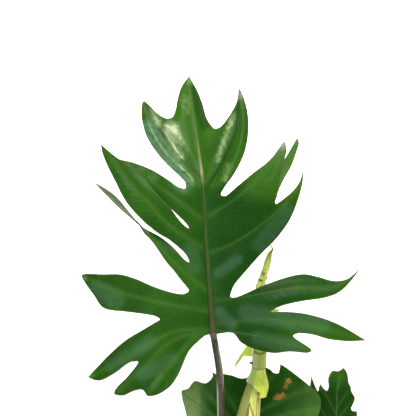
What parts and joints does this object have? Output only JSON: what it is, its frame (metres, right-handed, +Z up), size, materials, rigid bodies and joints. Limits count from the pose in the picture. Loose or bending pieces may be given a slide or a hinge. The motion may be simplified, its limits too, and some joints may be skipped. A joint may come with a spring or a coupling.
{
  "type": "potted tahiti philodendron",
  "caption": "Potted philodendron with a large antler-lobed upright leaf, a pale sheathed new shoot and smaller leaves in a plain tapered nursery pot.",
  "frame": {"origin": "centre of the pot's underside, on the surface that the pot stands on", "axes": "+Z up; the large leaf's face looks towards -Y; +X to the right as seen from there"},
  "size_m": [0.2941, 0.2865, 0.5872],
  "materials": {
    "leaf_green": "glossy dark green leaf, paler underside",
    "stalk_brown": "dull grey-brown leaf stalk, finely speckled",
    "sheath_green": "satin yellow-green sheath and shoot with fine fibres",
    "stem_green": "satin olive stem with ring scars",
    "root_brown": "dull brown aerial root",
    "mix_brown": "rough dark potting mix",
    "pot_clay": "matt terracotta-brown plastic nursery pot"
  },
  "bodies": {
    "root": {"pot": "pot_clay", "potting_mix": "mix_brown", "stem": "stem_green", "lower_sheath": "sheath_green", "skirt_sheath": "sheath_green", "collar_sheath": "sheath_green", "new_shoot": "sheath_green", "left_flap": "sheath_green", "right_flap": "sheath_green", "air_root_1": "root_brown", "air_root_2": "root_brown", "air_root_3": "root_brown", "large_leaf_blade": "leaf_green", "large_leaf_stalk": "stalk_brown", "broad_leaf_blade": "leaf_green", "broad_leaf_stalk": "stalk_brown", "right_leaf_blade": "leaf_green", "right_leaf_stalk": "stalk_brown", "low_leaf_blade": "leaf_green", "low_leaf_stalk": "stalk_brown", "back_leaf_blade": "leaf_green", "back_leaf_stalk": "stalk_brown"}
  },
  "joints": []
}
